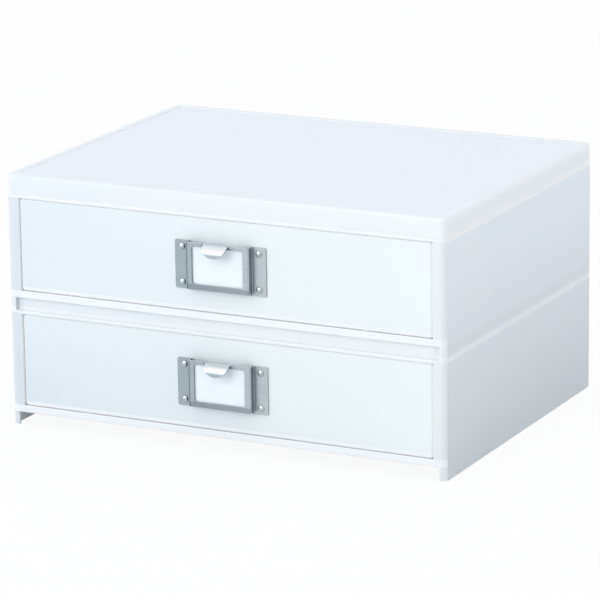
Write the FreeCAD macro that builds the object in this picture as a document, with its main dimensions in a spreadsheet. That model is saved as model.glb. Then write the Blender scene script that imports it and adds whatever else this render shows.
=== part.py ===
import FreeCAD, Part
import math
import os
import Sketcher
from types import SimpleNamespace
from FreeCAD import Vector

# Stacking file drawer in two tiers, moulded in milky polypropylene.
# Each tier is an open topped case with a neck, a sliding tray and a bent steel card pull.
# A loose top board closes the upper case.
# X runs across the front, Y runs from the front to the back, Z is up, lengths in millimetres.

doc = FreeCAD.newDocument("FileDrawer")
sheet = doc.addObject("Spreadsheet::Sheet", "Sizes")


class Size:
    """A length that carries its number and the sheet formula behind it."""

    def __init__(self, formula, number):
        self.formula = formula
        self.number = number

    def joined(self, sign, other, number):
        return Size("(%s %s %s)" % (self.formula, sign, other.formula), number)

    def __add__(self, other):
        other = asSize(other)
        return self.joined("+", other, self.number + other.number)

    def __sub__(self, other):
        other = asSize(other)
        return self.joined("-", other, self.number - other.number)

    def __mul__(self, other):
        other = asSize(other)
        return self.joined("*", other, self.number * other.number)

    def __truediv__(self, other):
        other = asSize(other)
        return self.joined("/", other, self.number / other.number)

    def __neg__(self):
        return Size("(0 - %s)" % self.formula, -self.number)


def asSize(value):
    """Turn a plain number into a Size and leave a Size as it is."""
    if isinstance(value, Size):
        return value
    return Size(repr(value), value)


# Every driving dimension of the drawer, in millimetres
dimensions = {
    # Case of one tier
    "case_width": 344.0,  # outside width of a case
    "case_depth": 259.0,  # outside depth of a case
    "tier_height": 85.4,  # foot of a case to its ledge, so also the stacking pitch
    "corner_radius": 5.0,  # upright outer corners of a case
    "wall_thickness": 2.2,  # case walls, rail and skirt
    "shoulder_bevel": 1.0,  # bevelled outer edge of the ledge
    "neck_inset": 2.9,  # case outside to the outside of the neck
    "neck_wall": 2.0,  # wall of the neck
    "neck_height": 11.4,  # ledge to the top of the neck
    "stack_gap": 0.6,  # top of a neck to the floor of the case above it
    "floor_thickness": 2.2,  # floor panel of a case
    "rail_lift": 9.7,  # foot of a case to the underside of its front rail
    "rail_step": 0.5,  # how far the front rail stands above the floor panel
    "header_height": 2.8,  # ledge to the top of the drawer opening
    "post_width": 10.5,  # front post at each side of the opening
    "foot_width": 5.6,  # front feet beside the gap under the rail
    "jamb_depth": 14.0,  # how far the jamb behind a post runs back
    "guide_wall": 2.0,  # jambs and side guides
    "guide_height": 8.0,  # side guides above the floor panel
    "runner_height": 0.85,  # floor runners the tray slides on
    "runner_width": 3.0,  # width of a floor runner
    "runner_offset": 110.0,  # middle of the case to a floor runner
    "runner_end_gap": 4.0,  # end of runners and guides to the back wall
    "opening_round": 0.8,  # rounded front edge of the drawer opening
    "foot_bevel": 0.3,  # bevelled lower outer edge of a skirt
    # Stops that end the travel of a drawer
    "drawer_travel": 190.0,  # how far a drawer slides out
    "stop_width": 9.0,  # stop lug under the header
    "stop_thickness": 3.0,  # stop lug from front to back
    "stop_drop": 4.3,  # stop lug below the opening top
    "stop_setback": 2.5,  # drawer front to the stop lug when shut
    "stop_side_gap": 1.0,  # side of the opening to the stop lug
    # Drawer
    "drawer_gap": 0.4,  # gap round the drawer front
    "drawer_recess": 0.7,  # case front to the drawer front
    "front_thickness": 2.5,  # drawer front panel
    "front_corner": 1.5,  # corners of the drawer front
    "front_bevel": 0.8,  # bevelled edge of the drawer front
    "tray_clearance": 2.4,  # opening side to the tray side
    "tray_wall": 2.0,  # tray sides and back
    "tray_floor": 2.0,  # tray floor
    "tray_height": 61.6,  # tray underside to its rim
    "tray_corner": 8.0,  # upright rear corners of the tray
    "tray_foot": 3.0,  # rounded lower edges of the tray
    "tray_inside": 2.0,  # rounded inner floor edges of the tray
    "tray_back_gap": 3.0,  # tray to the back wall when shut
    "rim_width": 1.4,  # rim standing out from the tray sides
    "rim_height": 2.0,  # height of the tray rim
    "catch_length": 7.0,  # catch on the tray side, front to back
    "catch_width": 6.0,  # catch on the tray side, across
    "catch_height": 3.4,  # catch above the tray rim
    # Top board
    "board_height": 14.2,  # height of the top board
    "board_wall": 2.1,  # apron of the top board
    "board_top": 2.4,  # panel of the top board
    "board_setback": 0.4,  # case outside to the outside of the top board
    "board_edge": 1.5,  # rounded upper edge of the top board
    "board_border": 6.5,  # raised border round the top panel
    "board_recess": 0.5,  # depth of the top panel below its border
    # Bent steel card pull
    "sheet_steel": 0.8,  # thickness of the steel sheet
    "pull_width": 71.2,  # pull over both wings
    "pull_height": 35.0,  # height of the pull
    "pull_level": 48.2,  # foot of a case to the middle of the pull
    "frame_width": 49.0,  # raised frame of the pull
    "stand_off": 6.0,  # drawer front to the face of the frame
    "frame_lift": 1.4,  # foot of the wings to the foot of the raised frame
    "bend_radius": 0.5,  # inside radius of the bends
    "wing_corner": 1.2,  # corners of the wings
    "window_width": 39.8,  # card window across
    "window_height": 27.0,  # card window upright
    "window_corner": 1.5,  # corners of the card window
    "bottom_bar": 3.9,  # frame below the card window
    "lip_half": 9.5,  # half the width of the finger lip
    "lip_curl": 6.2,  # outer radius of the curled finger lip
    "lip_drop": 7.0,  # round end of the finger lip, from its shoulders to its tip
    "lip_flat": 0.9,  # level start of the finger lip
    "slot_width": 2.6,  # relief slot beside the finger lip
    "slot_depth": 2.0,  # relief slot from the top edge
    "channel_depth": 1.1,  # room for film and card behind the frame
    "hook_rise": 3.0,  # bottom hook behind the card
    "hook_width": 42.0,  # bottom hook across
    "ear_reach": 3.2,  # side ear behind the card
    "ear_height": 5.0,  # side ear upright
    "ear_level": 5.0,  # middle of the pull to the foot of a side ear
    # Rivets and washers
    "rivet_pitch": 25.7,  # upper to lower rivet
    "shank_radius": 1.5,  # rivet shank
    "hole_clearance": 0.1,  # rivet hole over the shank, on the radius
    "head_radius": 2.4,  # rivet head
    "head_height": 1.3,  # rivet head above the wing
    "head_crown": 1.2,  # radius of the flat on top of a rivet head
    "tail_radius": 2.3,  # clenched rivet tail
    "tail_height": 0.8,  # clenched rivet tail above its washer
    "washer_radius": 3.4,  # washer inside the drawer front
    "washer_thickness": 0.6,  # washer thickness
    # Card and clear film
    "card_width": 45.4,  # card and film across
    "card_height": 31.0,  # card and film upright
    "card_thickness": 0.4,  # card thickness
    "film_thickness": 0.3,  # clear film thickness
    "card_lift": 0.1,  # card and film above the hook, on its inner bend
    "card_play": 0.15,  # gap between film and card
}


def writeSheet():
    """Put each driving dimension on its own row of the sheet and return them all as Sizes."""
    cells = {}
    for row, (name, number) in enumerate(dimensions.items(), 1):
        sheet.set("A%d" % row, name)
        sheet.set("B%d" % row, str(number))
        sheet.setAlias("B%d" % row, name)
        cells[name] = Size("Sizes." + name, number)
    doc.recompute()
    return SimpleNamespace(**cells)


size = writeSheet()

# Levels and places worked out from the driving dimensions
caseFront = -size.case_depth / 2
caseBack = size.case_depth / 2
floorUnder = size.neck_height + size.stack_gap
floorLevel = floorUnder + size.floor_thickness
railTop = floorLevel + size.rail_step
openingTop = size.tier_height - size.header_height
openingHalf = size.case_width / 2 - size.post_width
drawerFace = caseFront + size.drawer_recess
drawerUnder = floorLevel + size.runner_height
frontHalf = openingHalf - size.drawer_gap
frontTop = openingTop - size.drawer_gap
frontInner = drawerFace + size.front_thickness
trayHalf = openingHalf - size.tray_clearance
trayBack = caseBack - size.wall_thickness - size.tray_back_gap
rimLevel = drawerUnder + size.tray_height
stopFront = frontInner + size.stop_setback
stopBack = stopFront + size.stop_thickness
rivetHalf = (size.pull_width + size.frame_width) / 4
pullReach = size.stand_off + size.lip_flat + size.lip_curl - size.drawer_recess
middle = pullReach / 2


def bind(feature, propertyPath, value):
    """Tie one property to the sheet, or set it when it is a plain number."""
    value = asSize(value)
    feature.setExpression(propertyPath, value.formula)


def newBody(label):
    body = doc.addObject("PartDesign::Body", label)
    body.Label = label
    return body


def place(body, y, z):
    """Put a body at its place in the whole object, centred over its footprint."""
    bind(body, "Placement.Base.y", asSize(y) + middle)
    bind(body, "Placement.Base.z", z)


# Direction of each origin plane's normal along its own axis
normalSign = {"XY_Plane": 1, "XZ_Plane": -1, "YZ_Plane": 1}


def newSketch(body, name, plane, level):
    """Start a sketch on one of the body's own origin planes, moved to a level."""
    sketch = body.newObject("Sketcher::SketchObject", name)
    planes = [item for item in body.Origin.OriginFeatures if item.Role == plane]
    sketch.AttachmentSupport = [(planes[0], "")]
    sketch.MapMode = "FlatFace"
    bind(sketch, "AttachmentOffset.Base.z", asSize(level) * normalSign[plane])
    return sketch


def bindDatum(sketch, constraint, value):
    index = sketch.addConstraint(constraint)
    sketch.setExpression("Constraints[%d]" % index, value.formula)


def pinCoordinate(sketch, kind, edge, end, value):
    """Hold one coordinate of a sketch point at a signed distance from the origin."""
    value = asSize(value)
    if abs(value.number) < 1e-9:
        axis = -2 if kind == "DistanceX" else -1
        sketch.addConstraint(Sketcher.Constraint("PointOnObject", edge, end, axis))
    elif value.number > 0:
        bindDatum(sketch, Sketcher.Constraint(kind, -1, 1, edge, end, value.number), value)
    else:
        value = -value
        bindDatum(sketch, Sketcher.Constraint(kind, edge, end, -1, 1, value.number), value)


def pin(sketch, edge, end, x, y):
    pinCoordinate(sketch, "DistanceX", edge, end, x)
    pinCoordinate(sketch, "DistanceY", edge, end, y)


def arcBetween(start, finish, radius, bulgeLeft):
    """Arc of up to half a turn from start to finish, bulging to the left or right."""
    chord = finish.sub(start)
    half = chord.Length / 2
    depth = max(radius * radius - half * half, 0) ** 0.5
    inward = Vector(chord.y, -chord.x, 0).normalize()
    if not bulgeLeft:
        inward = inward.negative()
    centre = start.add(chord * 0.5).add(inward * depth)
    first, last = (finish, start) if bulgeLeft else (start, finish)
    startAngle = math.atan2(first.y - centre.y, first.x - centre.x)
    endAngle = math.atan2(last.y - centre.y, last.x - centre.x)
    if endAngle < startAngle:
        endAngle += math.tau
    return Part.ArcOfCircle(Part.Circle(centre, Vector(0, 0, 1), radius), startAngle, endAngle)


def outline(sketch, corners):
    """Draw a closed outline.

    Each corner is (x, y) for a straight run to the next corner, or
    (x, y, radius, bulgeLeft) for an arc to it.
    """
    points = [Vector(asSize(c[0]).number, asSize(c[1]).number, 0) for c in corners]
    count = len(corners)
    edges = []
    for i, corner in enumerate(corners):
        start = points[i]
        finish = points[(i + 1) % count]
        if len(corner) == 2:
            edges.append(sketch.addGeometry(Part.LineSegment(start, finish)))
        else:
            arc = arcBetween(start, finish, asSize(corner[2]).number, corner[3])
            edges.append(sketch.addGeometry(arc))
    ends = []
    for i, corner in enumerate(corners):
        geometry = sketch.Geometry[edges[i]]
        forward = geometry.StartPoint.distanceToPoint(points[i]) < 1e-6
        ends.append((1, 2) if forward else (2, 1))
    for i, corner in enumerate(corners):
        following = (i + 1) % count
        joint = (edges[i], ends[i][1], edges[following], ends[following][0])
        sketch.addConstraint(Sketcher.Constraint("Coincident", *joint))
        pin(sketch, edges[i], ends[i][0], corner[0], corner[1])
        if len(corner) > 2:
            radius = asSize(corner[2])
            bindDatum(sketch, Sketcher.Constraint("Radius", edges[i], radius.number), radius)


def roundedBox(sketch, left, right, low, high, radius):
    """Rectangle with four equal rounded corners, drawn anticlockwise."""
    outline(sketch, [
        (left + radius, low), (right - radius, low, radius, False),
        (right, low + radius), (right, high - radius, radius, False),
        (right - radius, high), (left + radius, high, radius, False),
        (left, high - radius), (left, low + radius, radius, False),
    ])


def box(sketch, left, right, low, high):
    outline(sketch, [(left, low), (right, low), (right, high), (left, high)])


def circle(sketch, x, y, radius):
    x = asSize(x)
    y = asSize(y)
    ring = Part.Circle(Vector(x.number, y.number, 0), Vector(0, 0, 1), radius.number)
    edge = sketch.addGeometry(ring)
    pin(sketch, edge, 3, x, y)
    bindDatum(sketch, Sketcher.Constraint("Radius", edge, radius.number), radius)


def grow(kind, body, name, plane, start, end, draw):
    """Pad or pocket a drawn profile from one level to another along the plane's axis."""
    start = asSize(start)
    end = asSize(end)
    before = body.Tip.Shape.Volume if body.Tip else 0
    sketch = newSketch(body, name + "_profile", plane, start)
    draw(sketch)
    feature = body.newObject("PartDesign::" + kind, name)
    feature.Profile = sketch
    rising = end.number > start.number
    bind(feature, "Length", end - start if rising else start - end)
    alongNormal = rising == (normalSign[plane] > 0)
    feature.Reversed = alongNormal if kind == "Pocket" else not alongNormal
    doc.recompute()
    after = feature.Shape.Volume
    if (kind == "Pad" and after <= before) or (kind == "Pocket" and after >= before):
        raise RuntimeError("%s of %s changes nothing" % (name, body.Label))
    return feature


def pad(body, name, plane, start, end, draw):
    return grow("Pad", body, name, plane, start, end, draw)


def pocket(body, name, plane, start, end, draw):
    return grow("Pocket", body, name, plane, start, end, draw)


def dressEdges(kind, sizeName, body, name, amount, chosen):
    """Fillet or chamfer the edges of the body's last feature that a test picks out."""
    base = body.Tip
    names = []
    for number, edge in enumerate(base.Shape.Edges, 1):
        if chosen(edge):
            names.append("Edge%d" % number)
    if not names:
        raise RuntimeError("%s of %s finds no edge" % (name, body.Label))
    feature = body.newObject("PartDesign::" + kind, name)
    feature.Base = (base, names)
    bind(feature, sizeName, amount)
    doc.recompute()
    return feature


def roundEdges(body, name, radius, chosen):
    return dressEdges("Fillet", "Radius", body, name, radius, chosen)


def bevelEdges(body, name, width, chosen):
    return dressEdges("Chamfer", "Size", body, name, width, chosen)


def flatAt(edge, axis, level):
    """True where every end and middle of an edge lies at one level of an axis."""
    bounds = edge.BoundBox
    low = getattr(bounds, axis + "Min")
    high = getattr(bounds, axis + "Max")
    return abs(low - level.number) < 1e-4 and abs(high - level.number) < 1e-4


def farFromMiddle(edge, width, depth):
    """True for an edge on the outside of a rounded block of this width and depth."""
    bounds = edge.BoundBox
    sideways = max(abs(bounds.XMin), abs(bounds.XMax)) > width.number / 2 - 1e-3
    lengthways = max(abs(bounds.YMin), abs(bounds.YMax)) > depth.number / 2 - 1e-3
    return sideways or lengthways


def insetOutline(inset):
    """Drawer of the case outline, moved in by an inset, with matching corners."""
    half = size.case_width / 2 - inset
    front = caseFront + inset
    back = caseBack - inset
    return lambda sketch: roundedBox(sketch, -half, half, front, back, size.corner_radius - inset)


def mirroredBoxes(near, far, low, high):
    """Drawer of two equal boxes, one each side of the middle."""
    def draw(sketch):
        box(sketch, near, far, low, high)
        box(sketch, -far, -near, low, high)
    return draw


def makeCase(label, tierLevel):
    """Open topped case: skirt, raised floor, front rail and posts, ledge and neck."""
    body = newBody(label)
    flush = asSize(0.0)
    pad(body, "block", "XY_Plane", 0, size.tier_height, insetOutline(flush))
    bevelEdges(body, "shoulder", size.shoulder_bevel, lambda e: flatAt(e, "Z", size.tier_height))
    bevelEdges(body, "foot", size.foot_bevel, lambda e: flatAt(e, "Z", flush))
    neckTop = size.tier_height + size.neck_height
    pad(body, "neck", "XY_Plane", size.tier_height, neckTop, insetOutline(size.neck_inset))
    ledgeUnder = size.tier_height - size.wall_thickness
    insideNeck = insetOutline(size.neck_inset + size.neck_wall)
    insideWalls = insetOutline(size.wall_thickness)
    pocket(body, "well", "XY_Plane", neckTop, ledgeUnder, insideNeck)
    pocket(body, "chamber", "XY_Plane", ledgeUnder, floorLevel, insideWalls)
    pocket(body, "underside", "XY_Plane", 0, floorUnder, insetOutline(size.wall_thickness))

    def drawOpening(sketch):
        box(sketch, -openingHalf, openingHalf, railTop, openingTop)

    def drawUnderRail(sketch):
        betweenFeet = size.case_width / 2 - size.foot_width
        box(sketch, -betweenFeet, betweenFeet, -size.foot_bevel, size.rail_lift)

    pocket(body, "opening", "XZ_Plane", caseFront, caseFront + size.wall_thickness, drawOpening)
    pocket(body, "under_rail", "XZ_Plane", caseFront, caseFront + size.wall_thickness, drawUnderRail)
    jambBack = caseFront + size.wall_thickness + size.jamb_depth
    guideBack = caseBack - size.wall_thickness - size.runner_end_gap
    wallBack = caseFront + size.wall_thickness
    jambs = mirroredBoxes(openingHalf, openingHalf + size.guide_wall, wallBack, jambBack)
    pad(body, "jambs", "XY_Plane", floorLevel, size.tier_height - size.wall_thickness, jambs)
    guides = mirroredBoxes(openingHalf, openingHalf + size.guide_wall, jambBack, guideBack)
    pad(body, "guides", "XY_Plane", floorLevel, floorLevel + size.guide_height, guides)
    runnerHalf = size.runner_width / 2
    runnerInner = size.runner_offset - runnerHalf
    runnerOuter = size.runner_offset + runnerHalf
    runners = mirroredBoxes(runnerInner, runnerOuter, wallBack, guideBack)
    pad(body, "runners", "XY_Plane", floorLevel, drawerUnder, runners)
    stopOuter = openingHalf - size.stop_side_gap
    stopInner = stopOuter - size.stop_width
    stops = mirroredBoxes(stopInner, stopOuter, openingTop - size.stop_drop, ledgeUnder)
    pad(body, "stops", "XZ_Plane", stopFront, stopBack, stops)
    header = mirroredBoxes(stopInner, stopOuter, caseFront + size.wall_thickness, stopBack)
    pad(body, "stop_roots", "XY_Plane", size.tier_height - size.wall_thickness, size.tier_height, header)

    def onOpening(edge):
        bounds = edge.BoundBox
        inside = max(abs(bounds.XMin), abs(bounds.XMax)) < openingHalf.number + 1e-3
        return flatAt(edge, "Y", caseFront) and inside

    roundEdges(body, "opening_edges", size.opening_round, onOpening)
    place(body, 0, tierLevel)
    return body


def trayOutline(inset, front):
    """Drawer of the tray outline, square at the front and rounded at the rear corners."""
    half = trayHalf - inset
    back = trayBack - inset
    radius = size.tray_corner - inset

    def draw(sketch):
        outline(sketch, [
            (-half, front), (half, front), (half, back - radius, radius, False),
            (half - radius, back), (radius - half, back, radius, False), (-half, back - radius),
        ])
    return draw


def rivetPlaces():
    """Middle of each rivet on the drawer front, from the middle of the pull."""
    return [(x, z) for x in (-rivetHalf, rivetHalf) for z in (-size.rivet_pitch / 2, size.rivet_pitch / 2)]


def drawRivetHoles(level):
    def draw(sketch):
        for x, z in rivetPlaces():
            circle(sketch, x, level + z, size.shank_radius + size.hole_clearance)
    return draw


def makeDrawer(label, tierLevel):
    """Sliding tray with a front panel, a rim and the two catches that meet the stops."""
    body = newBody(label)

    def drawFront(sketch):
        roundedBox(sketch, -frontHalf, frontHalf, drawerUnder, frontTop, size.front_corner)

    pad(body, "front", "XZ_Plane", drawerFace, frontInner, drawFront)
    bevelEdges(body, "front_edge", size.front_bevel, lambda e: flatAt(e, "Y", drawerFace))
    frontMiddle = drawerFace + size.front_thickness / 2
    pad(body, "tray", "XY_Plane", drawerUnder, rimLevel, trayOutline(asSize(0.0), frontMiddle))

    def onFoot(edge):
        bounds = edge.BoundBox
        return flatAt(edge, "Z", drawerUnder) and bounds.YMax > frontInner.number + 1

    roundEdges(body, "tray_feet", size.tray_foot, onFoot)
    inside = trayOutline(size.tray_wall, frontInner)
    trayInner = drawerUnder + size.tray_floor
    pocket(body, "inside", "XY_Plane", rimLevel, trayInner, inside)
    roundEdges(body, "inside_edges", size.tray_inside, lambda e: flatAt(e, "Z", trayInner))

    def drawRim(sketch):
        trayOutline(-size.rim_width, frontInner)(sketch)
        trayOutline(size.tray_wall, frontInner + size.tray_wall)(sketch)

    pad(body, "rim", "XY_Plane", rimLevel - size.rim_height, rimLevel, drawRim)
    catchFront = stopBack + size.drawer_travel
    catchBack = catchFront + size.catch_length
    catches = mirroredBoxes(trayHalf - size.catch_width, trayHalf, catchFront, catchBack)
    pad(body, "catches", "XY_Plane", rimLevel - size.rim_height, rimLevel + size.catch_height, catches)
    pocket(body, "rivet_holes", "XZ_Plane", drawerFace, frontInner, drawRivetHoles(size.pull_level))
    place(body, 0, tierLevel)
    return body


def makePull(label, tierLevel):
    """Card pull bent from one steel sheet: wings, raised frame, curled lip, hook and ears."""
    body = newBody(label)
    half = size.pull_width / 2
    step = size.frame_width / 2
    stepInner = step - size.sheet_steel
    face = -size.stand_off
    faceBack = face + size.sheet_steel
    top = size.pull_height / 2
    bottom = -top
    frameBottom = bottom + size.frame_lift

    def drawHat(sketch):
        outline(sketch, [
            (-half, 0), (-half, -size.sheet_steel), (-step, -size.sheet_steel), (-step, face),
            (step, face), (step, -size.sheet_steel), (half, -size.sheet_steel), (half, 0),
            (stepInner, 0), (stepInner, faceBack), (-stepInner, faceBack), (-stepInner, 0),
        ])

    pad(body, "hat", "XY_Plane", bottom, top, drawHat)

    def upright(edge, x, y):
        bounds = edge.BoundBox
        here = abs(abs(bounds.XMin) - x.number) < 1e-4 and abs(bounds.YMin - asSize(y).number) < 1e-4
        return here and abs(bounds.ZLength - size.pull_height.number) < 1e-4

    def onInnerBend(edge):
        return upright(edge, step, -size.sheet_steel) or upright(edge, stepInner, faceBack)

    def onOuterBend(edge):
        return upright(edge, step, face) or upright(edge, stepInner, 0)

    roundEdges(body, "inner_bends", size.bend_radius, onInnerBend)
    outerBend = size.bend_radius + size.sheet_steel
    roundEdges(body, "outer_bends", outerBend, onOuterBend)
    footCut = mirroredBoxes(0, step + size.sheet_steel, bottom - size.sheet_steel, frameBottom)
    pocket(body, "frame_foot", "XZ_Plane", face, -size.sheet_steel - size.bend_radius, footCut)
    windowBottom = frameBottom + size.bottom_bar
    windowTop = windowBottom + size.window_height

    def drawWindow(sketch):
        across = size.window_width / 2
        roundedBox(sketch, -across, across, windowBottom, windowTop, size.window_corner)

    pocket(body, "window", "XZ_Plane", face, faceBack, drawWindow)
    curlStart = face - size.lip_flat
    curlFront = curlStart - size.lip_curl
    lipShoulder = top - size.sheet_steel - size.bend_radius
    lipEnd = lipShoulder - size.lip_drop
    lipRound = (size.lip_half * size.lip_half + size.lip_drop * size.lip_drop) / (size.lip_drop * 2)
    innerCurl = size.lip_curl - size.sheet_steel
    blankHalf = size.lip_half + size.slot_width / 2

    def drawLip(sketch):
        outline(sketch, [
            (faceBack, top), (curlStart, top, size.lip_curl, False),
            (curlFront, top - size.lip_curl), (curlFront, lipEnd), (curlFront + size.sheet_steel, lipEnd),
            (curlFront + size.sheet_steel, top - size.lip_curl, innerCurl, True),
            (curlStart, top - size.sheet_steel), (faceBack, top - size.sheet_steel),
        ])

    pad(body, "finger_lip", "YZ_Plane", -blankHalf, blankHalf, drawLip)

    def drawLipTrim(sketch):
        spare = size.lip_half + size.slot_width
        above = top + size.slot_width
        below = lipEnd - size.slot_width
        outline(sketch, [
            (-spare, above), (-spare, below), (spare, below), (spare, above),
            (size.lip_half, above), (size.lip_half, lipShoulder, lipRound, True),
            (asSize(0.0), lipEnd, lipRound, True), (-size.lip_half, lipShoulder),
            (-size.lip_half, above),
        ])

    pocket(body, "lip_outline", "XZ_Plane", face, curlFront - size.slot_width, drawLipTrim)
    slotOuter = size.lip_half + size.slot_width
    slots = mirroredBoxes(size.lip_half, slotOuter, top - size.slot_depth, top + size.slot_width)
    pocket(body, "relief_slots", "XZ_Plane", face, faceBack, slots)

    def alongLip(edge, y, z):
        reach = max(abs(edge.BoundBox.XMin), abs(edge.BoundBox.XMax))
        return flatAt(edge, "Y", y) and flatAt(edge, "Z", z) and reach < size.lip_half.number + 1e-3

    roundEdges(body, "lip_bend_back", outerBend, lambda e: alongLip(e, faceBack, top))
    lipUnder = top - size.sheet_steel
    roundEdges(body, "lip_bend_front", size.bend_radius, lambda e: alongLip(e, face, lipUnder))
    hookFront = faceBack + size.channel_depth
    hookBack = hookFront + size.sheet_steel
    hookFloor = frameBottom + size.sheet_steel
    hookTop = hookFloor + size.hook_rise

    def drawHook(sketch):
        outline(sketch, [
            (faceBack, frameBottom), (hookBack, frameBottom), (hookBack, hookTop),
            (hookFront, hookTop), (hookFront, hookFloor), (faceBack, hookFloor),
        ])

    pad(body, "hook", "YZ_Plane", -size.hook_width / 2, size.hook_width / 2, drawHook)
    roundEdges(body, "hook_bend", outerBend,
               lambda e: flatAt(e, "Y", hookBack) and flatAt(e, "Z", frameBottom))
    roundEdges(body, "hook_inner_bend", size.bend_radius,
               lambda e: flatAt(e, "Y", hookFront) and flatAt(e, "Z", hookFloor))
    ears = mirroredBoxes(stepInner - size.ear_reach, stepInner + size.sheet_steel / 2, hookFront, hookBack)
    pad(body, "ears", "XY_Plane", size.ear_level, size.ear_level + size.ear_height, ears)
    pocket(body, "rivet_holes", "XZ_Plane", -size.sheet_steel, 0, drawRivetHoles(asSize(0.0)))

    def onWingCorner(edge):
        bounds = edge.BoundBox
        atSide = abs(abs(bounds.XMin) - half.number) < 1e-4
        return atSide and bounds.XLength < 1e-4 and bounds.ZLength < 1e-4

    roundEdges(body, "wing_corners", size.wing_corner, onWingCorner)
    place(body, drawerFace, size.pull_level + tierLevel)
    return body


def makeRivet(label, x, z):
    """Rivet through the wing and the drawer front, clenched over its washer."""
    body = newBody(label)
    headUnder = -size.sheet_steel
    headTop = headUnder - size.head_height
    tailUnder = size.front_thickness + size.washer_thickness
    tailTop = tailUnder + size.tail_height
    sketch = newSketch(body, "rivet_profile", "XY_Plane", 0)
    outline(sketch, [
        (asSize(0.0), headTop), (size.head_crown, headTop),
        (size.head_radius, headUnder), (size.shank_radius, headUnder),
        (size.shank_radius, tailUnder), (size.tail_radius, tailUnder), (size.tail_radius, tailTop),
        (asSize(0.0), tailTop),
    ])
    turned = body.newObject("PartDesign::Revolution", "rivet")
    turned.Profile = sketch
    turned.ReferenceAxis = (sketch, ["V_Axis"])
    turned.Angle = 360
    doc.recompute()
    bind(body, "Placement.Base.x", x)
    place(body, drawerFace, z)
    return body


def makeWasher(label, x, z):
    """Flat washer under a clenched rivet tail, inside the drawer front."""
    body = newBody(label)

    def drawRing(sketch):
        circle(sketch, 0.0, 0.0, size.washer_radius)
        circle(sketch, 0.0, 0.0, size.shank_radius + size.hole_clearance)

    under = size.front_thickness
    pad(body, "ring", "XZ_Plane", under, under + size.washer_thickness, drawRing)
    bind(body, "Placement.Base.x", x)
    place(body, drawerFace, z)
    return body


def makeSlip(label, tierLevel, front, thickness):
    """Card or film standing in the channel behind the frame, on the bottom hook."""
    body = newBody(label)

    def drawSlip(sketch):
        box(sketch, -size.card_width / 2, size.card_width / 2, 0, size.card_height)

    pad(body, "slip", "XZ_Plane", 0, thickness, drawSlip)
    frameFoot = size.pull_level - size.pull_height / 2 + size.frame_lift
    foot = frameFoot + size.sheet_steel + size.card_lift
    place(body, drawerFace + front, foot + tierLevel)
    return body


def makeTopBoard(label):
    """Lift-off board over the neck of the upper case, with a sunk panel inside its border."""
    body = newBody(label)
    width = size.case_width - size.board_setback * 2
    depth = size.case_depth - size.board_setback * 2
    pad(body, "block", "XY_Plane", 0, size.board_height, insetOutline(size.board_setback))
    onTop = lambda e: flatAt(e, "Z", size.board_height) and farFromMiddle(e, width, depth)
    roundEdges(body, "upper_edge", size.board_edge, onTop)
    bevelEdges(body, "lower_edge", size.foot_bevel, lambda e: flatAt(e, "Z", asSize(0.0)))
    inner = insetOutline(size.board_setback + size.board_wall)
    pocket(body, "underside", "XY_Plane", 0, size.board_height - size.board_top, inner)

    def drawPanel(sketch):
        across = size.case_width / 2 - size.board_border
        front = caseFront + size.board_border
        back = caseBack - size.board_border
        roundedBox(sketch, -across, across, front, back, size.corner_radius)

    pocket(body, "panel", "XY_Plane", size.board_height, size.board_height - size.board_recess, drawPanel)
    place(body, 0, size.tier_height * 2)
    return body


made = []
tiers = (("lower", asSize(0.0)), ("upper", size.tier_height))
for tier, level in tiers:
    made.append(makeCase(tier + "_case", level))
    made.append(makeDrawer(tier + "_drawer", level))
    made.append(makePull(tier + "_pull", level))
    for number, (x, z) in enumerate(rivetPlaces(), 1):
        height = level + size.pull_level + z
        made.append(makeRivet("%s_pull_rivet_%d" % (tier, number), x, height))
        made.append(makeWasher("%s_rivet_washer_%d" % (tier, number), x, height))
    filmFront = size.sheet_steel - size.stand_off
    cardFront = filmFront + size.film_thickness + size.card_play
    made.append(makeSlip(tier + "_card_film", level, filmFront, size.film_thickness))
    made.append(makeSlip(tier + "_card", level, cardFront, size.card_thickness))
made.append(makeTopBoard("top_board"))
doc.recompute()

for item in doc.Objects:
    if "Invalid" in item.State or "Error" in item.State:
        raise RuntimeError("%s is not built" % item.Label)
for body in made:
    if body.Shape.isNull() or not body.Shape.isValid() or len(body.Shape.Solids) != 1:
        raise RuntimeError("%s is not one valid solid" % body.Label)

os.makedirs("parts", exist_ok=True)
for body in made:
    body.Shape.exportStep("parts/%s.step" % body.Label)
    print(body.Label, round(body.Shape.Volume, 1))
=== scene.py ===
import math

import bpy
from mathutils import Matrix, Vector


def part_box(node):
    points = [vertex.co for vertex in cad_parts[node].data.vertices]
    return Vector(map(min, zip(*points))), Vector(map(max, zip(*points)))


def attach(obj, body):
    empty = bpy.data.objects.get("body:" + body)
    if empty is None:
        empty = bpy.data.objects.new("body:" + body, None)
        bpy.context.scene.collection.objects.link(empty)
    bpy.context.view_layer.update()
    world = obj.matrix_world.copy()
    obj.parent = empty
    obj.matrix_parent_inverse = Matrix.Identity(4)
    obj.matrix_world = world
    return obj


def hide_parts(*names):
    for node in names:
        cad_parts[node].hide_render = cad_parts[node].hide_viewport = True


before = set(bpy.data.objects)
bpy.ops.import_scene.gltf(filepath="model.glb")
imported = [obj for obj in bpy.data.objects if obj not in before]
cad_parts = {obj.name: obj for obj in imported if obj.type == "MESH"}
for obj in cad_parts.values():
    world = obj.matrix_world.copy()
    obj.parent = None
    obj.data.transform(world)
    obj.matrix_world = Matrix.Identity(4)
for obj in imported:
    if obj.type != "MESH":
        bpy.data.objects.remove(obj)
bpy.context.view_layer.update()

# Desktop file drawer: two milky plastic cases, a top board and bent steel card pulls.
# Everything is in metres, in the frame of the CAD model.

tiers = ("lower", "upper")

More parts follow.
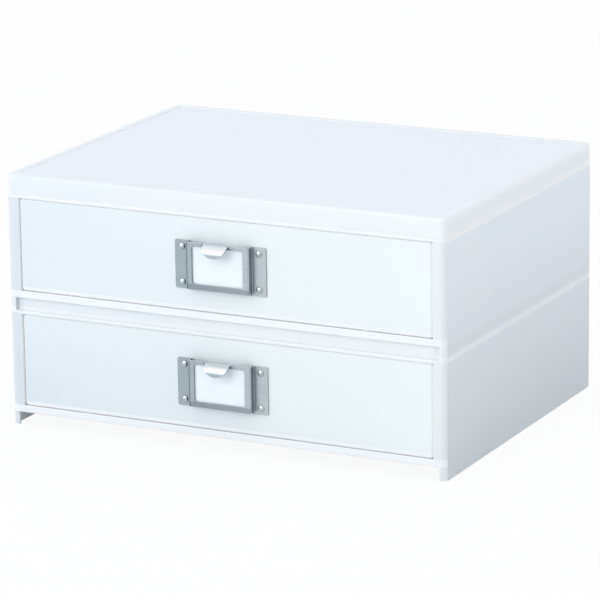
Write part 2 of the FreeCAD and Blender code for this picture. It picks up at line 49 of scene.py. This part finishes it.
# Levels read from the frame, so a changed size moves the finish with it
drawerFoot = {tier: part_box(tier + "_drawer")[0][2] for tier in tiers}
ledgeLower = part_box("upper_case")[0][2]
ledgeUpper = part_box("top_board")[0][2]
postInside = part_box("lower_drawer")[1][0]
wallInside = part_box("lower_case")[1][0] - 0.0015
railHeight = 0.005
footHollow = drawerFoot["lower"] - railHeight
caseCentreY = (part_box("lower_case")[0][1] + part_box("lower_case")[1][1]) / 2
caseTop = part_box("top_board")[1][2]


def newMaterial(name):
    material = bpy.data.materials.new(name)
    material.use_nodes = True
    nodes = material.node_tree.nodes
    return material, nodes, material.node_tree.links, nodes["Principled BSDF"]


def addMath(nodes, links, operation, first, second):
    node = nodes.new("ShaderNodeMath")
    node.operation = operation
    for socket, value in zip(node.inputs, (first, second)):
        if isinstance(value, (int, float)):
            socket.default_value = value
        else:
            links.new(value, socket)
    return node.outputs[0]


def addNoise(nodes, links, coordinates, scale, detail, stretch=(1, 1, 1)):
    mapping = nodes.new("ShaderNodeMapping")
    mapping.inputs["Scale"].default_value = stretch
    links.new(coordinates, mapping.inputs["Vector"])
    noise = nodes.new("ShaderNodeTexNoise")
    noise.inputs["Scale"].default_value = scale
    noise.inputs["Detail"].default_value = detail
    links.new(mapping.outputs["Vector"], noise.inputs["Vector"])
    return noise.outputs["Fac"]


def mapRange(nodes, links, value, fromLow, fromHigh, toLow, toHigh, smooth=False):
    node = nodes.new("ShaderNodeMapRange")
    if smooth:
        node.interpolation_type = "SMOOTHSTEP"
    links.new(value, node.inputs["Value"])
    for socket, number in zip(("From Min", "From Max", "To Min", "To Max"),
                              (fromLow, fromHigh, toLow, toHigh)):
        node.inputs[socket].default_value = number
    return node.outputs["Result"]


def mixColours(nodes, links, factor, first, second, blend="MIX"):
    node = nodes.new("ShaderNodeMix")
    node.data_type = "RGBA"
    node.blend_type = blend
    for socket, value in ((0, factor), (6, first), (7, second)):
        if isinstance(value, (int, float, tuple)):
            node.inputs[socket].default_value = value
        else:
            links.new(value, node.inputs[socket])
    return node.outputs[2]


def addBump(nodes, links, height, distance, strength, after=None):
    bump = nodes.new("ShaderNodeBump")
    bump.inputs["Distance"].default_value = distance
    bump.inputs["Strength"].default_value = strength
    links.new(height, bump.inputs["Height"])
    if after:
        links.new(after, bump.inputs["Normal"])
    return bump.outputs["Normal"]


def addSoftEdges(nodes, radius):
    bevel = nodes.new("ShaderNodeBevel")
    bevel.samples = 6
    bevel.inputs["Radius"].default_value = radius
    return bevel.outputs["Normal"]


def addEdgeMask(nodes, links, radius, flat, sharp):
    # 1 along edges, where the softened normal leaves that of the face
    turn = nodes.new("ShaderNodeVectorMath")
    turn.operation = "DOT_PRODUCT"
    links.new(addSoftEdges(nodes, radius), turn.inputs[0])
    links.new(nodes.new("ShaderNodeNewGeometry").outputs["True Normal"], turn.inputs[1])
    return mapRange(nodes, links, turn.outputs["Value"], sharp, flat, 1, 0, True)


def addCloseness(nodes, links, reach, opened, closed):
    # 1 where another surface stands within reach, as inside a narrow gap
    recess = nodes.new("ShaderNodeAmbientOcclusion")
    recess.samples = 6
    recess.inputs["Distance"].default_value = reach
    return mapRange(nodes, links, recess.outputs["AO"], closed, opened, 1, 0)


def addFacing(nodes, links, axis):
    # how far the surface faces along one axis of the object, from -1 to 1
    parts = nodes.new("ShaderNodeSeparateXYZ")
    links.new(nodes.new("ShaderNodeTexCoord").outputs["Normal"], parts.inputs[0])
    return parts.outputs[axis]


def allOf(nodes, links, *factors):
    product = factors[0]
    for factor in factors[1:]:
        product = addMath(nodes, links, "MULTIPLY", product, factor)
    return product


def addZone(nodes, links, value, riseFrom, riseTo, fallFrom, fallTo):
    # 1 between two smooth steps
    rising = mapRange(nodes, links, value, riseFrom, riseTo, 0, 1, True)
    falling = mapRange(nodes, links, value, fallFrom, fallTo, 1, 0, True)
    return allOf(nodes, links, rising, falling)


def tintTone(nodes, links, factor, tone, tint):
    return mixColours(nodes, links, factor, tone, tint, "MULTIPLY")


def readSpot(nodes, links, place):
    # where a point of the object lies, and which way its surface faces
    parts = nodes.new("ShaderNodeSeparateXYZ")
    links.new(place, parts.inputs[0])
    spot = {"across": parts.outputs["X"], "height": parts.outputs["Z"]}
    spot["outward"] = addMath(nodes, links, "ABSOLUTE", spot["across"], 0)
    return spot


plasticLook = {
    "cloudScale": 9.0,         # slow changes of milkiness, per metre
    "cloudDetail": 3.0,
    "cloudDepth": 0.035,
    "grainScale": 2600.0,      # spark-eroded mould grain
    "grainDepth": 0.00003,
    "grainStrength": 0.35,
    "softEdge": 0.0005,
    "frontFacing": (-0.6, -0.3),   # Y of the normal on front faces and on all others
    "frontPaintedLight": (1.072, 1.068, 1.02, 1.0),    # painted light: the fronts are made paler than the side walls
    "leftPaintedShade": (0.87, 0.89, 0.935, 1.0),      # painted shade: the fronts are darker toward the left
    "leftReach": 0.17,
    "postPaintedShade": (0.945, 0.935, 0.935, 1.0),    # painted shade on the ends of the side walls, seen edge on
    "footShadeFront": 0.94,       # painted shade: the foot of the stack takes less light than its top
    "footShadeSide": 0.72,
    "neckPaintedShade": (0.96, 0.96, 0.96, 1.0),        # painted shade: a wall with a neck behind it looks a little darker
    "neckShadeEdge": 0.0016,
    "bandEdge": 0.0006,
    "step": 0.0004,            # width of a hard change of tone
    "panelTint": (0.985, 0.98, 0.995),
    "panelStep": 0.0002,
    "hollowGlow": 0.8,         # painted light: the inner sides of the foot, lit up from the desk
    "hollowStep": 0.001,
    "paintedHighlight": (0.925, 0.965, 1.0, 1.0),      # painted highlight: a cut or moulded edge gathers light
    "edgeReach": 0.0016,
    "edgeTurn": (0.995, 0.86),     # softened against true normal, on flat faces and on edges
    "edgeFront": 0.85,
    "edgeSide": 0.75,
    # painted light: the walls of narrow gaps are made white
    "gapPaintedLight": (1.0, 1.0, 1.0, 1.0),
    "gapReach": 0.0012,
    "gapOpenness": (0.9, 0.45),    # of open faces and of gap walls
    "transmission": 0.1,       # light that passes through the milky wall
    "gapTransmission": 0.0,    # less in the narrow gaps, whose walls are painted white for the light from the wall
    "subsurface": 0.12,
    "subsurfaceRadius": (0.9, 1.0, 1.1),
    "subsurfaceScale": 0.004,
    "refraction": 1.49,
    "specular": 0.4,
}


def addMilkAndPaintedShade(nodes, links, spot, clouds, colour, isCase):
    # the milky tone of the wall with clouds, and painted light and shade: paler fronts, greyer posts, darker
    # toward the left and with depth below the top
    look = plasticLook
    paler = tuple(min(c * (1 + look["cloudDepth"]), 1.0) for c in colour) + (1.0,)
    deeper = tuple(c * (1 - look["cloudDepth"]) for c in colour) + (1.0,)
    tone = mixColours(nodes, links, clouds, deeper, paler)
    # painted light: front faces are made paler
    tone = tintTone(nodes, links, spot["front"], tone, look["frontPaintedLight"])
    # painted shade: the post ends are greyer
    if isCase:
        post = mapRange(nodes, links, spot["outward"], postInside, postInside + look["step"], 0, 1)
        tone = tintTone(nodes, links, allOf(nodes, links, post, spot["front"]), tone, look["postPaintedShade"])
    # painted shade: the fronts darken toward the left
    leftward = mapRange(nodes, links, spot["across"], look["leftReach"], -look["leftReach"], 0, 1)
    tone = tintTone(nodes, links, allOf(nodes, links, leftward, spot["front"]), tone, look["leftPaintedShade"])
    # painted shade: darker toward the foot, more on the sides than on the fronts
    depth = mapRange(nodes, links, spot["height"], 0, caseTop, 1, 0)
    footShade = mapRange(nodes, links, spot["notFront"], 0, 1, look["footShadeFront"], look["footShadeSide"])
    return tintTone(nodes, links, depth, tone, footShade)


def addPaintedHighlights(nodes, links, spot, tone, highlightBands):
    # painted highlight: each band mixes the tone toward a pale colour
    look = plasticLook
    edge = look["bandEdge"]
    for low, high, inFront, elsewhere in highlightBands:
        zone = addZone(nodes, links, spot["height"], low - edge, low, high - edge, high + edge)
        strength = mapRange(nodes, links, spot["notFront"], 0, 1, inFront, elsewhere)
        tone = mixColours(nodes, links, allOf(nodes, links, zone, strength), tone, look["paintedHighlight"])
    return tone


def addNeckShade(nodes, links, spot, tone):
    # painted shade on the side walls in front of the neck
    look = plasticLook
    edge = look["neckShadeEdge"]
    low, high = neckShade
    zone = addZone(nodes, links, spot["height"], low - edge, low + edge, high - edge, high + edge)
    return tintTone(nodes, links, allOf(nodes, links, zone, spot["notFront"]), tone, look["neckPaintedShade"])


def addFootGlow(nodes, links, spot, tone):
    # painted light on the inner sides of the foot
    look = plasticLook
    inner = mapRange(nodes, links, spot["outward"], wallInside, wallInside + look["step"], 1, 0)
    under = mapRange(nodes, links, spot["height"], footHollow, footHollow + look["hollowStep"], 1, 0)
    glowing = allOf(nodes, links, inner, under, spot["notFront"], look["hollowGlow"])
    return mixColours(nodes, links, glowing, tone, look["paintedHighlight"])


def addSunkPanel(nodes, links, spot, tone, colour):
    look = plasticLook
    panelTop = caseTop - look["panelStep"]
    upward = mapRange(nodes, links, addFacing(nodes, links, "Z"), 0.5, 0.8, 0, 1)
    sunk = mapRange(nodes, links, spot["height"], panelTop - look["panelStep"], panelTop, 1, 0)
    panel = tuple(c * tint for c, tint in zip(colour, look["panelTint"])) + (1.0,)
    return mixColours(nodes, links, allOf(nodes, links, upward, sunk), tone, panel)


def makePlastic(name, kind, roughness, highlightBands):
    # highlightBands: heights of painted highlight, where a thick moulded edge gathers light, with its
    # strength in front and elsewhere
    look = plasticLook
    colour = plasticColours[kind]
    material, nodes, links, shader = newMaterial(name)
    place = nodes.new("ShaderNodeTexCoord").outputs["Object"]
    spot = readSpot(nodes, links, place)
    facing = addFacing(nodes, links, "Y")
    spot["notFront"] = mapRange(nodes, links, facing, *look["frontFacing"], 0, 1, True)
    spot["front"] = addMath(nodes, links, "SUBTRACT", 1, spot["notFront"])
    clouds = addNoise(nodes, links, place, look["cloudScale"], look["cloudDetail"])

    tone = addMilkAndPaintedShade(nodes, links, spot, clouds, colour, kind == "case")
    if kind == "case":
        tone = addNeckShade(nodes, links, spot, tone)
    tone = addPaintedHighlights(nodes, links, spot, tone, highlightBands)
    if kind == "board":
        tone = addSunkPanel(nodes, links, spot, tone, colour)
    if kind == "case":
        tone = addFootGlow(nodes, links, spot, tone)
    # painted highlight along the edges
    edges = addEdgeMask(nodes, links, look["edgeReach"], *look["edgeTurn"])
    strength = mapRange(nodes, links, spot["notFront"], 0, 1, look["edgeFront"], look["edgeSide"])
    tone = mixColours(nodes, links, allOf(nodes, links, edges, strength), tone, look["paintedHighlight"])
    # painted light: narrow gaps are made white
    narrow = addCloseness(nodes, links, look["gapReach"], *look["gapOpenness"])
    tone = mixColours(nodes, links, narrow, tone, look["gapPaintedLight"])
    links.new(tone, shader.inputs["Base Color"])

    patches = mapRange(nodes, links, clouds, 0.3, 0.7, roughness - 0.04, roughness + 0.05)
    links.new(patches, shader.inputs["Roughness"])
    grain = addNoise(nodes, links, place, look["grainScale"], 2.0)
    soft = addSoftEdges(nodes, look["softEdge"])
    grainy = addBump(nodes, links, grain, look["grainDepth"], look["grainStrength"], soft)
    links.new(grainy, shader.inputs["Normal"])
    passing = mapRange(nodes, links, narrow, 0, 1, look["transmission"], look["gapTransmission"])
    links.new(passing, shader.inputs["Transmission Weight"])
    shader.inputs["Subsurface Weight"].default_value = look["subsurface"]
    shader.inputs["Subsurface Radius"].default_value = look["subsurfaceRadius"]
    shader.inputs["Subsurface Scale"].default_value = look["subsurfaceScale"]
    shader.inputs["IOR"].default_value = look["refraction"]
    shader.inputs["Specular IOR Level"].default_value = look["specular"]
    return material


steelLook = {
    "colour": (0.525, 0.595, 0.625, 1.0),
    "dull": (0.40, 0.46, 0.492, 1.0),
    "paintedTopHighlight": (0.74, 0.77, 0.79, 1.0),    # painted highlight on faces that look up
    "corner": (0.13, 0.15, 0.17, 1.0),      # bends and slots that see little light
    "cornerReach": 0.006,
    "cornerOpenness": (0.85, 0.35),
    "brushScale": 160.0,
    "brushStretch": (1.0, 1.0, 28.0),       # brush lines run across the pull
    "brushDepth": 0.00002,
    "smudgeScale": 55.0,
    "roughness": 0.34,
    "softEdge": 0.00025,
}
pullLook = {
    "leftShade": (0.74, 0.77, 0.79, 1.0),   # painted shade: the sheet is darker toward its left wing
    "barShade": (0.68, 0.70, 0.72, 1.0),    # painted shade along the bar under the window
    "bendShade": (0.42, 0.45, 0.48, 1.0),   # painted shade along the left bend
    "bendCore": 0.0005,
    "bendReach": 0.0018,
    "frameHalf": 0.0245,
    "barTop": 0.0053,
    "step": 0.0004,
}
rivetLook = {"stretch": (1.0, 1.0, 1.0), "roughness": 0.26}


def shadePull(nodes, links, place, steelTone, box):
    # painted shade on the pull: toward the left wing, along the bar and at the left bend
    look = pullLook
    spot = readSpot(nodes, links, place)
    leftward = mapRange(nodes, links, spot["across"], box[0][0], box[1][0], 1, 0)
    steelTone = tintTone(nodes, links, leftward, steelTone, look["leftShade"])
    barTop = box[0][2] + look["barTop"]
    frameHalf = look["frameHalf"]
    low = mapRange(nodes, links, spot["height"], barTop - look["step"], barTop, 1, 0)
    inFrame = mapRange(nodes, links, spot["outward"], frameHalf - look["step"], frameHalf, 1, 0)
    steelTone = tintTone(nodes, links, allOf(nodes, links, low, inFrame), steelTone, look["barShade"])
    offBend = addMath(nodes, links, "ADD", spot["across"], frameHalf)
    offBend = addMath(nodes, links, "ABSOLUTE", offBend, 0)
    bend = mapRange(nodes, links, offBend, look["bendCore"], look["bendReach"], 1, 0, True)
    return tintTone(nodes, links, bend, steelTone, look["bendShade"])


def makeSteel(name, stretch, roughness, box=None):
    # box: corners of the pull that the steel is for
    look = steelLook
    material, nodes, links, shader = newMaterial(name)
    place = nodes.new("ShaderNodeTexCoord").outputs["Object"]
    brush = addNoise(nodes, links, place, look["brushScale"], 6.0, stretch)
    smudge = addNoise(nodes, links, place, look["smudgeScale"], 3.0)
    brushed = mapRange(nodes, links, brush, 0.25, 0.75, 0, 1)
    tone = mixColours(nodes, links, brushed, look["dull"], look["colour"])
    smudged = mapRange(nodes, links, smudge, 0.55, 0.8, 0, 0.35)
    tone = mixColours(nodes, links, smudged, tone, look["dull"])
    if box:
        tone = shadePull(nodes, links, place, tone, box)
    # painted highlight: faces that look up are paler
    upward = mapRange(nodes, links, addFacing(nodes, links, "Z"), 0.1, 0.7, 0, 1, True)
    tone = mixColours(nodes, links, upward, tone, look["paintedTopHighlight"])
    closed = addCloseness(nodes, links, look["cornerReach"], *look["cornerOpenness"])
    links.new(mixColours(nodes, links, closed, tone, look["corner"]), shader.inputs["Base Color"])
    shader.inputs["Metallic"].default_value = 1.0
    rough = mapRange(nodes, links, brush, 0.2, 0.8, roughness - 0.07, roughness + 0.08)
    links.new(rough, shader.inputs["Roughness"])
    soft = addSoftEdges(nodes, look["softEdge"])
    links.new(addBump(nodes, links, brush, look["brushDepth"], 0.5, soft), shader.inputs["Normal"])
    return material


cardLook = {
    "colour": (0.85, 0.925, 0.97, 1.0),
    "fibre": (0.80, 0.875, 0.92, 1.0),
    "fibreScale": 900.0,
    "fibreStretch": (1.0, 1.0, 2.5),
    "fibreDepth": 0.00004,
    "roughness": 0.85,
}


def makeCard():
    material, nodes, links, shader = newMaterial("labelCardStock")
    place = nodes.new("ShaderNodeTexCoord").outputs["Object"]
    fibres = addNoise(nodes, links, place, cardLook["fibreScale"], 5.0, cardLook["fibreStretch"])
    tone = mixColours(nodes, links, mapRange(nodes, links, fibres, 0.35, 0.75, 0, 1),
                      cardLook["colour"], cardLook["fibre"])
    links.new(tone, shader.inputs["Base Color"])
    shader.inputs["Roughness"].default_value = cardLook["roughness"]
    links.new(addBump(nodes, links, fibres, cardLook["fibreDepth"], 0.4), shader.inputs["Normal"])
    return material


filmLook = {
    "colour": (0.93, 0.96, 0.98, 1.0),
    "alpha": 0.08,
    "roughness": 0.08,
    "scuffed": 0.20,       # roughness where it is scuffed
    "scuffScale": 240.0,
    "waveScale": 60.0,
    "waveDepth": 0.0002,
}


def makeFilm():
    material, nodes, links, shader = newMaterial("clearCardFilm")
    place = nodes.new("ShaderNodeTexCoord").outputs["Object"]
    waves = addNoise(nodes, links, place, filmLook["waveScale"], 1.0)
    links.new(addBump(nodes, links, waves, filmLook["waveDepth"], 0.15), shader.inputs["Normal"])
    scuffs = addNoise(nodes, links, place, filmLook["scuffScale"], 4.0)
    rough = mapRange(nodes, links, scuffs, 0.4, 0.8, filmLook["roughness"], filmLook["scuffed"])
    links.new(rough, shader.inputs["Roughness"])
    shader.inputs["Base Color"].default_value = filmLook["colour"]
    shader.inputs["Alpha"].default_value = filmLook["alpha"]
    return material


plasticColours = {
    "case": (0.835, 0.91, 0.99),
    "drawer": (0.835, 0.912, 0.99),
    "board": (0.835, 0.91, 0.995),
}
# Heights of the painted highlight bands, each with its strength in front and elsewhere
ledgeBands = [(ledgeLower - 0.0010, ledgeLower + 0.0026, 0.75, 0.35),
              (ledgeUpper - 0.0022, ledgeUpper, 0.75, 0.8)]
railBands = [(drawerFoot[tier] - railHeight, drawerFoot[tier], 0.75, 0) for tier in tiers]
neckBands = [(ledgeLower, drawerFoot["upper"] - railHeight, 0.3, 0)]
footBands = [(drawerFoot[tier], drawerFoot[tier] + 0.0030, 0.75, 0) for tier in tiers]
apronBands = [(ledgeUpper, ledgeUpper + 0.0022, 0, 0.9), (caseTop - 0.0028, caseTop - 0.0006, 0, 1.0),
              (ledgeUpper, caseTop - 0.0008, 0.3, 0.35)]
neckShade = (ledgeLower + 0.0045, ledgeLower + 0.0105)   # painted shade where the neck shows through the side walls

casePlastic = makePlastic("milkyCasePlastic", "case", 0.36, ledgeBands + railBands + neckBands)
drawerPlastic = makePlastic("milkyDrawerPlastic", "drawer", 0.42, footBands)
boardPlastic = makePlastic("milkyBoardPlastic", "board", 0.38, apronBands)
pullSteel = {tier: makeSteel(tier + "BrushedPullSteel", steelLook["brushStretch"], steelLook["roughness"],
                             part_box(tier + "_pull")) for tier in tiers}
rivetSteel = makeSteel("tumbledRivetSteel", rivetLook["stretch"], rivetLook["roughness"])
cardStock = makeCard()
clearFilm = makeFilm()
print("materials made")


def dress(nodeName, material):
    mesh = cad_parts[nodeName].data
    mesh.materials.clear()
    mesh.materials.append(material)


dress("top_board", boardPlastic)
for tier in tiers:
    dress(tier + "_case", casePlastic)
    dress(tier + "_drawer", drawerPlastic)
    dress(tier + "_pull", pullSteel[tier])
    dress(tier + "_card", cardStock)
    dress(tier + "_card_film", clearFilm)
    for number in range(1, 5):
        dress("%s_pull_rivet_%d" % (tier, number), rivetSteel)
        dress("%s_rivet_washer_%d" % (tier, number), rivetSteel)
print("frame nodes dressed")

rivetShape = {
    "segments": 32,
    "rings": 16,
    "headHeight": 0.0013,
    "shankRadius": 0.0015,
    "tailRadius": 0.0023,
    "tailHeight": 0.0008,
    "tailBevel": 0.00025,
}


def growRivet(nodeName, body):
    shape = rivetShape
    low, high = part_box(nodeName)
    headRadius = (high[0] - low[0]) / 2
    headBack = low[1] + shape["headHeight"]
    centre = ((low[0] + high[0]) / 2, headBack, (low[2] + high[2]) / 2)
    bpy.ops.object.select_all(action="DESELECT")
    bpy.ops.mesh.primitive_uv_sphere_add(segments=shape["segments"], ring_count=shape["rings"],
                                         radius=headRadius, location=centre,
                                         rotation=(math.pi / 2, 0, 0))
    rivet = bpy.context.active_object
    rivet.name = nodeName + "_domed"
    bpy.ops.object.transform_apply(location=True, rotation=True, scale=True)
    bpy.ops.object.mode_set(mode="EDIT")
    bpy.ops.mesh.select_all(action="SELECT")
    bpy.ops.transform.resize(value=(1, shape["headHeight"] / headRadius, 1), center_override=centre)
    bpy.ops.mesh.bisect(plane_co=centre, plane_no=(0, 1, 0), use_fill=True, clear_outer=True)
    bpy.ops.object.mode_set(mode="OBJECT")
    for face in rivet.data.polygons:
        face.select = face.normal.y > 0.99 and len(face.vertices) > 8
    bpy.ops.object.mode_set(mode="EDIT")
    bpy.ops.mesh.select_mode(type="FACE")
    tailFront = high[1] - shape["tailHeight"]
    bpy.ops.mesh.inset(thickness=headRadius - shape["shankRadius"])
    bpy.ops.mesh.extrude_region_move(TRANSFORM_OT_translate={"value": (0, tailFront - headBack, 0)})
    bpy.ops.mesh.extrude_region_move(TRANSFORM_OT_translate={"value": (0, 0, 0)})
    spread = shape["tailRadius"] / shape["shankRadius"]
    bpy.ops.transform.resize(value=(spread, 1, spread), center_override=(centre[0], tailFront, centre[2]))
    bpy.ops.mesh.extrude_region_move(TRANSFORM_OT_translate={"value": (0, shape["tailHeight"], 0)})
    bpy.ops.mesh.bevel(offset=shape["tailBevel"], segments=2)
    bpy.ops.mesh.select_all(action="SELECT")
    bpy.ops.mesh.normals_make_consistent(inside=False)
    bpy.ops.object.mode_set(mode="OBJECT")
    bpy.ops.object.shade_smooth_by_angle(angle=math.radians(35))
    rivet.data.materials.clear()
    rivet.data.materials.append(rivetSteel)
    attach(rivet, body)
    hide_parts(nodeName)


for tier in tiers:
    for number in range(1, 5):
        growRivet("%s_pull_rivet_%d" % (tier, number), tier + "_drawer_body")
print("rivets modelled")

cameraSetup = {
    "azimuth": 26.63,       # degrees to the right of the front
    "elevation": 14.92,
    "roll": -0.77,
    "distance": 2.795,
    "aimRight": 0.0030,     # where the middle of the object stands in the view
    "aimUp": 0.0131,
    "focalPixels": 3846.0,
    "imagePixels": 600.0,
    "sensor": 36.0,
    "farthest": 50,
}


def makeCamera():
    setup = cameraSetup
    azimuth = math.radians(setup["azimuth"])
    elevation = math.radians(setup["elevation"])
    roll = math.radians(setup["roll"])
    back = Vector((math.sin(azimuth) * math.cos(elevation),
                   -math.cos(azimuth) * math.cos(elevation), math.sin(elevation)))
    right = Vector((0, 0, 1)).cross(back).normalized()
    up = back.cross(right)
    rolledRight = right * math.cos(roll) + up * math.sin(roll)
    rolledUp = up * math.cos(roll) - right * math.sin(roll)
    centre = Vector((0, caseCentreY, caseTop / 2))
    place = centre + back * setup["distance"]
    place -= rolledRight * setup["aimRight"] + rolledUp * setup["aimUp"]
    camera = bpy.data.cameras.new("studioCamera")
    camera.sensor_width = setup["sensor"]
    camera.lens = setup["focalPixels"] / setup["imagePixels"] * setup["sensor"]
    camera.clip_end = setup["farthest"]
    holder = bpy.data.objects.new("studioCamera", camera)
    turn = Matrix((rolledRight, rolledUp, back)).transposed().to_4x4()
    holder.matrix_world = Matrix.Translation(place) @ turn
    bpy.context.collection.objects.link(holder)
    bpy.context.scene.camera = holder


makeCamera()

lampSetup = {
    "worldLight": 0.87,
    "frontSize": 2.2, "frontPower": 27.0, "frontPlace": (-1.5, -2.4, 1.1),
    "sideSize": 1.8, "sidePower": 6.0, "sidePlace": (2.6, 0.8, 1.3),
    "topSize": 2.0, "topPower": 4.8, "topPlace": (0.0, -0.3, 2.4),
    "aim": (0, 0, 0.09),
}


def makeLamp(name, size, power, place):
    lamp = bpy.data.lights.new(name, "AREA")
    lamp.shape = "SQUARE"
    lamp.size = size
    lamp.energy = power
    holder = bpy.data.objects.new(name, lamp)
    spot = Vector(place)
    aim = Vector(lampSetup["aim"]) - spot
    holder.matrix_world = Matrix.Translation(spot) @ aim.to_track_quat("-Z", "Y").to_matrix().to_4x4()
    bpy.context.collection.objects.link(holder)


makeLamp("frontSoftbox", lampSetup["frontSize"], lampSetup["frontPower"], lampSetup["frontPlace"])
makeLamp("sideSoftbox", lampSetup["sideSize"], lampSetup["sidePower"], lampSetup["sidePlace"])
makeLamp("topSoftbox", lampSetup["topSize"], lampSetup["topPower"], lampSetup["topPlace"])


def seenDirectly(nodes, links):
    # 1 where the camera, a mirror or clear film looks straight at the surface
    path = nodes.new("ShaderNodeLightPath")
    seen = addMath(nodes, links, "MAXIMUM", path.outputs["Is Camera Ray"], path.outputs["Is Glossy Ray"])
    return addMath(nodes, links, "MAXIMUM", seen, path.outputs["Is Transmission Ray"])


def makeWorld():
    world = bpy.data.worlds.new("paleStudio")
    bpy.context.scene.world = world
    world.use_nodes = True
    nodes, links = world.node_tree.nodes, world.node_tree.links
    background = nodes["Background"]
    background.inputs["Color"].default_value = (1, 1, 1, 1)
    seen = seenDirectly(nodes, links)
    links.new(mapRange(nodes, links, seen, 0, 1, lampSetup["worldLight"], 1.0), background.inputs["Strength"])


floorSetup = {
    "size": 12,
    "drop": 0.0002,
    "colour": (0.86, 0.87, 0.89, 1),
    "roughness": 0.9,
    "whiteShare": 0.93,    # how much of a plain white the camera sees; the rest keeps the shadow
}


def makeFloor():
    bpy.ops.object.select_all(action="DESELECT")
    bpy.ops.mesh.primitive_plane_add(size=floorSetup["size"], location=(0, 0, -floorSetup["drop"]))
    floor = bpy.context.active_object
    floor.name = "studioFloor"
    material, nodes, links, shader = newMaterial("studioFloorPaper")
    shader.inputs["Base Color"].default_value = floorSetup["colour"]
    shader.inputs["Roughness"].default_value = floorSetup["roughness"]
    glow = nodes.new("ShaderNodeEmission")
    mix = nodes.new("ShaderNodeMixShader")
    seen = seenDirectly(nodes, links)
    links.new(addMath(nodes, links, "MULTIPLY", seen, floorSetup["whiteShare"]), mix.inputs[0])
    links.new(shader.outputs[0], mix.inputs[1])
    links.new(glow.outputs[0], mix.inputs[2])
    links.new(mix.outputs[0], nodes["Material Output"].inputs["Surface"])
    floor.data.materials.append(material)


makeWorld()
makeFloor()
bpy.context.scene.view_settings.view_transform = "Standard"
print("camera, lamps and floor set")
